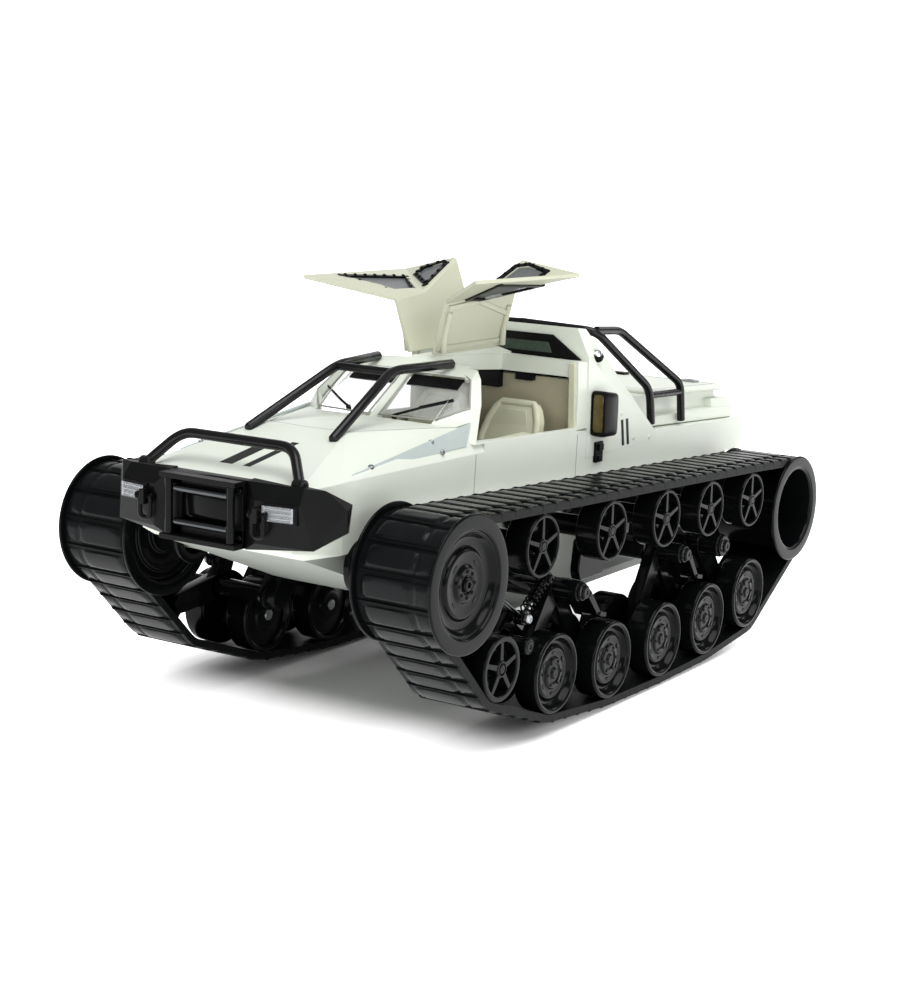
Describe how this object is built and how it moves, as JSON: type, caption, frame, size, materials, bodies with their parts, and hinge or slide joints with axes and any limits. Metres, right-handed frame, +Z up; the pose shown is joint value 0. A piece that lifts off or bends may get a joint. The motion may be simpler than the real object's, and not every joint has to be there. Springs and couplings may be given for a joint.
{
  "type": "tracked tank chassis",
  "caption": "Radio-controlled tracked off-road vehicle: faceted body with gull-wing doors on rubber belts, driven drums, return rollers and rocking sprung road wheels.",
  "frame": {"origin": "middle of the bounding box, on the ground under the belts", "axes": "+X towards the vehicle's front, +Y to its left, +Z up"},
  "size_m": [0.553, 0.27, 0.2699],
  "materials": {
    "body_white": "satin warm white moulded plastic",
    "door_cream": "satin cream moulded plastic",
    "cabin_cream": "matt cream seats over black trim",
    "clear_screen": "clear sheet",
    "belt_rubber": "dull black with polished pads",
    "gear_black": "semi-gloss black moulded plastic",
    "bar_black": "semi-gloss black tube",
    "bright_steel": "polished steel",
    "pack_wrap": "matt shrink film"
  },
  "bodies": {
    "chassis": {"lower_hull": "body_white", "upper_body": "body_white", "windscreen": "clear_screen", "cabin_interior": "cabin_cream", "drive_unit": "gear_black", "battery_pack": "pack_wrap", "rear_deck": "body_white", "front_bumper": "gear_black", "bull_bar": "bar_black", "hood_bars": "bar_black", "rear_cage": "bar_black", "fairlead_frame": "gear_black", "side_intake_left": "gear_black", "side_intake_right": "gear_black", "track_belt_left": "belt_rubber", "track_belt_right": "belt_rubber", "front_shock_left": "bright_steel", "front_shock_right": "bright_steel"},
    "door_left": {"door_left": "door_cream"},
    "door_right": {"door_right": "door_cream"},
    "shackle_left": {"shackle_left": "bright_steel"},
    "shackle_right": {"shackle_right": "bright_steel"},
    "fairlead_roller_left": {"fairlead_roller_left": "gear_black"},
    "fairlead_roller_right": {"fairlead_roller_right": "gear_black"},
    "fairlead_bar_top": {"fairlead_bar_top": "bright_steel"},
    "fairlead_bar_bottom": {"fairlead_bar_bottom": "bright_steel"},
    "drive_drum_left": {"drive_drum_left": "gear_black"},
    "drive_drum_right": {"drive_drum_right": "gear_black"},
    "idler_drum_left": {"idler_drum_left": "gear_black"},
    "idler_drum_right": {"idler_drum_right": "gear_black"},
    "return_roller_1_left": {"return_roller_1_left": "gear_black"},
    "return_roller_1_right": {"return_roller_1_right": "gear_black"},
    "return_roller_2_left": {"return_roller_2_left": "gear_black"},
    "return_roller_2_right": {"return_roller_2_right": "gear_black"},
    "return_roller_3_left": {"return_roller_3_left": "gear_black"},
    "return_roller_3_right": {"return_roller_3_right": "gear_black"},
    "return_roller_4_left": {"return_roller_4_left": "gear_black"},
    "return_roller_4_right": {"return_roller_4_right": "gear_black"},
    "return_roller_5_left": {"return_roller_5_left": "gear_black"},
    "return_roller_5_right": {"return_roller_5_right": "gear_black"},
    "bogie_rocker_1_left": {"bogie_rocker_1_left": "gear_black"},
    "bogie_rocker_1_right": {"bogie_rocker_1_right": "gear_black"},
    "bogie_rocker_2_left": {"bogie_rocker_2_left": "gear_black"},
    "bogie_rocker_2_right": {"bogie_rocker_2_right": "gear_black"},
    "rear_arm_left": {"rear_arm_left": "gear_black"},
    "rear_arm_right": {"rear_arm_right": "gear_black"},
    "front_swing_arm_left": {"front_swing_arm_left": "gear_black"},
    "front_swing_arm_right": {"front_swing_arm_right": "gear_black"},
    "road_wheel_1_left": {"road_wheel_1_left": "gear_black"},
    "road_wheel_1_right": {"road_wheel_1_right": "gear_black"},
    "road_wheel_2_left": {"road_wheel_2_left": "gear_black"},
    "road_wheel_2_right": {"road_wheel_2_right": "gear_black"},
    "road_wheel_3_left": {"road_wheel_3_left": "gear_black"},
    "road_wheel_3_right": {"road_wheel_3_right": "gear_black"},
    "road_wheel_4_left": {"road_wheel_4_left": "gear_black"},
    "road_wheel_4_right": {"road_wheel_4_right": "gear_black"},
    "road_wheel_5_left": {"road_wheel_5_left": "gear_black"},
    "road_wheel_5_right": {"road_wheel_5_right": "gear_black"},
    "tension_wheel_left": {"tension_wheel_left": "gear_black"},
    "tension_wheel_right": {"tension_wheel_right": "gear_black"}
  },
  "joints": [
    {"name": "door_left_hinge", "type": "hinge", "parent": "chassis", "child": "door_left", "pos_m": [0.0195, 0.0095, 0.21254], "axis": [1, 0, 0], "range_deg": [-80, 0]},
    {"name": "door_right_hinge", "type": "hinge", "parent": "chassis", "child": "door_right", "pos_m": [0.0195, -0.0095, 0.21254], "axis": [1, 0, 0], "range_deg": [0, 74]},
    {"name": "shackle_left_swing", "type": "hinge", "parent": "chassis", "child": "shackle_left", "pos_m": [0.2729, 0.0404, 0.14734], "axis": [0, 1, 0], "range_deg": [-80, 0]},
    {"name": "shackle_right_swing", "type": "hinge", "parent": "chassis", "child": "shackle_right", "pos_m": [0.2729, -0.0404, 0.14734], "axis": [0, 1, 0], "range_deg": [-80, 0]},
    {"name": "fairlead_roller_left_spin", "type": "hinge", "parent": "chassis", "child": "fairlead_roller_left", "pos_m": [0.2735, 0.0222, 0.14474], "axis": [0, 0, 1], "continuous": true},
    {"name": "fairlead_roller_right_spin", "type": "hinge", "parent": "chassis", "child": "fairlead_roller_right", "pos_m": [0.2735, -0.0222, 0.14474], "axis": [0, 0, 1], "continuous": true},
    {"name": "fairlead_bar_top_spin", "type": "hinge", "parent": "chassis", "child": "fairlead_bar_top", "pos_m": [0.2721, 0, 0.15494], "axis": [0, 1, 0], "continuous": true},
    {"name": "fairlead_bar_bottom_spin", "type": "hinge", "parent": "chassis", "child": "fairlead_bar_bottom", "pos_m": [0.2721, 0, 0.13594], "axis": [0, 1, 0], "continuous": true},
    {"name": "drive_drum_left_spin", "type": "hinge", "parent": "chassis", "child": "drive_drum_left", "pos_m": [0.2054, 0.1089, 0.11074], "axis": [0, 1, 0], "continuous": true},
    {"name": "drive_drum_right_spin", "type": "hinge", "parent": "chassis", "child": "drive_drum_right", "pos_m": [0.2054, -0.1089, 0.11074], "axis": [0, 1, 0], "continuous": true},
    {"name": "idler_drum_left_spin", "type": "hinge", "parent": "chassis", "child": "idler_drum_left", "pos_m": [-0.2277, 0.1089, 0.08854], "axis": [0, 1, 0], "continuous": true},
    {"name": "idler_drum_right_spin", "type": "hinge", "parent": "chassis", "child": "idler_drum_right", "pos_m": [-0.2277, -0.1089, 0.08854], "axis": [0, 1, 0], "continuous": true},
    {"name": "return_roller_1_left_spin", "type": "hinge", "parent": "chassis", "child": "return_roller_1_left", "pos_m": [0.1265, 0.126, 0.11924], "axis": [0, 1, 0], "continuous": true},
    {"name": "return_roller_1_right_spin", "type": "hinge", "parent": "chassis", "child": "return_roller_1_right", "pos_m": [0.1265, -0.126, 0.11924], "axis": [0, 1, 0], "continuous": true},
    {"name": "return_roller_2_left_spin", "type": "hinge", "parent": "chassis", "child": "return_roller_2_left", "pos_m": [0.0446, 0.126, 0.11524], "axis": [0, 1, 0], "continuous": true},
    {"name": "return_roller_2_right_spin", "type": "hinge", "parent": "chassis", "child": "return_roller_2_right", "pos_m": [0.0446, -0.126, 0.11524], "axis": [0, 1, 0], "continuous": true},
    {"name": "return_roller_3_left_spin", "type": "hinge", "parent": "chassis", "child": "return_roller_3_left", "pos_m": [-0.0275, 0.126, 0.11174], "axis": [0, 1, 0], "continuous": true},
    {"name": "return_roller_3_right_spin", "type": "hinge", "parent": "chassis", "child": "return_roller_3_right", "pos_m": [-0.0275, -0.126, 0.11174], "axis": [0, 1, 0], "continuous": true},
    {"name": "return_roller_4_left_spin", "type": "hinge", "parent": "chassis", "child": "return_roller_4_left", "pos_m": [-0.0911, 0.126, 0.10854], "axis": [0, 1, 0], "continuous": true},
    {"name": "return_roller_4_right_spin", "type": "hinge", "parent": "chassis", "child": "return_roller_4_right", "pos_m": [-0.0911, -0.126, 0.10854], "axis": [0, 1, 0], "continuous": true},
    {"name": "return_roller_5_left_spin", "type": "hinge", "parent": "chassis", "child": "return_roller_5_left", "pos_m": [-0.155, 0.126, 0.10524], "axis": [0, 1, 0], "continuous": true},
    {"name": "return_roller_5_right_spin", "type": "hinge", "parent": "chassis", "child": "return_roller_5_right", "pos_m": [-0.155, -0.126, 0.10524], "axis": [0, 1, 0], "continuous": true},
    {"name": "bogie_rocker_1_left_pivot", "type": "hinge", "parent": "chassis", "child": "bogie_rocker_1_left", "pos_m": [0.072, 0.108, 0.08154], "axis": [0, 1, 0], "range_deg": [-2.5, 6], "deforming": ["track_belt_left"]},
    {"name": "bogie_rocker_1_right_pivot", "type": "hinge", "parent": "chassis", "child": "bogie_rocker_1_right", "pos_m": [0.072, -0.108, 0.08154], "axis": [0, 1, 0], "range_deg": [-2.5, 6], "deforming": ["track_belt_right"]},
    {"name": "bogie_rocker_2_left_pivot", "type": "hinge", "parent": "chassis", "child": "bogie_rocker_2_left", "pos_m": [-0.0625, 0.108, 0.08204], "axis": [0, 1, 0], "range_deg": [-6, 6], "deforming": ["track_belt_left"]},
    {"name": "bogie_rocker_2_right_pivot", "type": "hinge", "parent": "chassis", "child": "bogie_rocker_2_right", "pos_m": [-0.0625, -0.108, 0.08204], "axis": [0, 1, 0], "range_deg": [-6, 6], "deforming": ["track_belt_right"]},
    {"name": "rear_arm_left_pivot", "type": "hinge", "parent": "chassis", "child": "rear_arm_left", "pos_m": [-0.1265, 0.108, 0.07654], "axis": [0, 1, 0], "range_deg": [-6, 6], "stiffness_Nm_per_rad": 3, "deforming": ["track_belt_left"]},
    {"name": "rear_arm_right_pivot", "type": "hinge", "parent": "chassis", "child": "rear_arm_right", "pos_m": [-0.1265, -0.108, 0.07654], "axis": [0, 1, 0], "range_deg": [-6, 6], "stiffness_Nm_per_rad": 3, "deforming": ["track_belt_right"]},
    {"name": "front_swing_arm_left_pivot", "type": "hinge", "parent": "chassis", "child": "front_swing_arm_left", "pos_m": [0.1315, 0.108, 0.05954], "axis": [0, 1, 0], "range_deg": [-8, 5], "stiffness_Nm_per_rad": 3, "deforming": ["track_belt_left", "front_shock_left"]},
    {"name": "front_swing_arm_right_pivot", "type": "hinge", "parent": "chassis", "child": "front_swing_arm_right", "pos_m": [0.1315, -0.108, 0.05954], "axis": [0, 1, 0], "range_deg": [-8, 5], "stiffness_Nm_per_rad": 3, "deforming": ["track_belt_right", "front_shock_right"]},
    {"name": "road_wheel_1_left_spin", "type": "hinge", "parent": "bogie_rocker_1_left", "child": "road_wheel_1_left", "pos_m": [0.1061, 0.1089, 0.03854], "axis": [0, 1, 0], "continuous": true},
    {"name": "road_wheel_1_right_spin", "type": "hinge", "parent": "bogie_rocker_1_right", "child": "road_wheel_1_right", "pos_m": [0.1061, -0.1089, 0.03854], "axis": [0, 1, 0], "continuous": true},
    {"name": "road_wheel_2_left_spin", "type": "hinge", "parent": "bogie_rocker_1_left", "child": "road_wheel_2_left", "pos_m": [0.038, 0.1089, 0.03234], "axis": [0, 1, 0], "continuous": true},
    {"name": "road_wheel_2_right_spin", "type": "hinge", "parent": "bogie_rocker_1_right", "child": "road_wheel_2_right", "pos_m": [0.038, -0.1089, 0.03234], "axis": [0, 1, 0], "continuous": true},
    {"name": "road_wheel_3_left_spin", "type": "hinge", "parent": "bogie_rocker_2_left", "child": "road_wheel_3_left", "pos_m": [-0.0305, 0.1089, 0.03124], "axis": [0, 1, 0], "continuous": true},
    {"name": "road_wheel_3_right_spin", "type": "hinge", "parent": "bogie_rocker_2_right", "child": "road_wheel_3_right", "pos_m": [-0.0305, -0.1089, 0.03124], "axis": [0, 1, 0], "continuous": true},
    {"name": "road_wheel_4_left_spin", "type": "hinge", "parent": "bogie_rocker_2_left", "child": "road_wheel_4_left", "pos_m": [-0.0945, 0.1089, 0.03244], "axis": [0, 1, 0], "continuous": true},
    {"name": "road_wheel_4_right_spin", "type": "hinge", "parent": "bogie_rocker_2_right", "child": "road_wheel_4_right", "pos_m": [-0.0945, -0.1089, 0.03244], "axis": [0, 1, 0], "continuous": true},
    {"name": "road_wheel_5_left_spin", "type": "hinge", "parent": "rear_arm_left", "child": "road_wheel_5_left", "pos_m": [-0.157, 0.1089, 0.03874], "axis": [0, 1, 0], "continuous": true},
    {"name": "road_wheel_5_right_spin", "type": "hinge", "parent": "rear_arm_right", "child": "road_wheel_5_right", "pos_m": [-0.157, -0.1089, 0.03874], "axis": [0, 1, 0], "continuous": true},
    {"name": "tension_wheel_left_spin", "type": "hinge", "parent": "front_swing_arm_left", "child": "tension_wheel_left", "pos_m": [0.1675, 0.126, 0.05474], "axis": [0, 1, 0], "continuous": true},
    {"name": "tension_wheel_right_spin", "type": "hinge", "parent": "front_swing_arm_right", "child": "tension_wheel_right", "pos_m": [0.1675, -0.126, 0.05474], "axis": [0, 1, 0], "continuous": true}
  ],
  "couplings": [
    {"joint": "idler_drum_left_spin", "follows": "drive_drum_left_spin", "ratio": 1},
    {"joint": "return_roller_1_left_spin", "follows": "drive_drum_left_spin", "ratio": 1.6457},
    {"joint": "return_roller_2_left_spin", "follows": "drive_drum_left_spin", "ratio": 1.6457},
    {"joint": "return_roller_3_left_spin", "follows": "drive_drum_left_spin", "ratio": 1.6457},
    {"joint": "return_roller_4_left_spin", "follows": "drive_drum_left_spin", "ratio": 1.6457},
    {"joint": "return_roller_5_left_spin", "follows": "drive_drum_left_spin", "ratio": 1.6457},
    {"joint": "road_wheel_1_left_spin", "follows": "drive_drum_left_spin", "ratio": 1.2416},
    {"joint": "road_wheel_2_left_spin", "follows": "drive_drum_left_spin", "ratio": 1.2416},
    {"joint": "road_wheel_3_left_spin", "follows": "drive_drum_left_spin", "ratio": 1.2416},
    {"joint": "road_wheel_4_left_spin", "follows": "drive_drum_left_spin", "ratio": 1.2416},
    {"joint": "road_wheel_5_left_spin", "follows": "drive_drum_left_spin", "ratio": 1.2416},
    {"joint": "tension_wheel_left_spin", "follows": "drive_drum_left_spin", "ratio": 1.5954},
    {"joint": "idler_drum_right_spin", "follows": "drive_drum_right_spin", "ratio": 1},
    {"joint": "return_roller_1_right_spin", "follows": "drive_drum_right_spin", "ratio": 1.6457},
    {"joint": "return_roller_2_right_spin", "follows": "drive_drum_right_spin", "ratio": 1.6457},
    {"joint": "return_roller_3_right_spin", "follows": "drive_drum_right_spin", "ratio": 1.6457},
    {"joint": "return_roller_4_right_spin", "follows": "drive_drum_right_spin", "ratio": 1.6457},
    {"joint": "return_roller_5_right_spin", "follows": "drive_drum_right_spin", "ratio": 1.6457},
    {"joint": "road_wheel_1_right_spin", "follows": "drive_drum_right_spin", "ratio": 1.2416},
    {"joint": "road_wheel_2_right_spin", "follows": "drive_drum_right_spin", "ratio": 1.2416},
    {"joint": "road_wheel_3_right_spin", "follows": "drive_drum_right_spin", "ratio": 1.2416},
    {"joint": "road_wheel_4_right_spin", "follows": "drive_drum_right_spin", "ratio": 1.2416},
    {"joint": "road_wheel_5_right_spin", "follows": "drive_drum_right_spin", "ratio": 1.2416},
    {"joint": "tension_wheel_right_spin", "follows": "drive_drum_right_spin", "ratio": 1.5954}
  ]
}
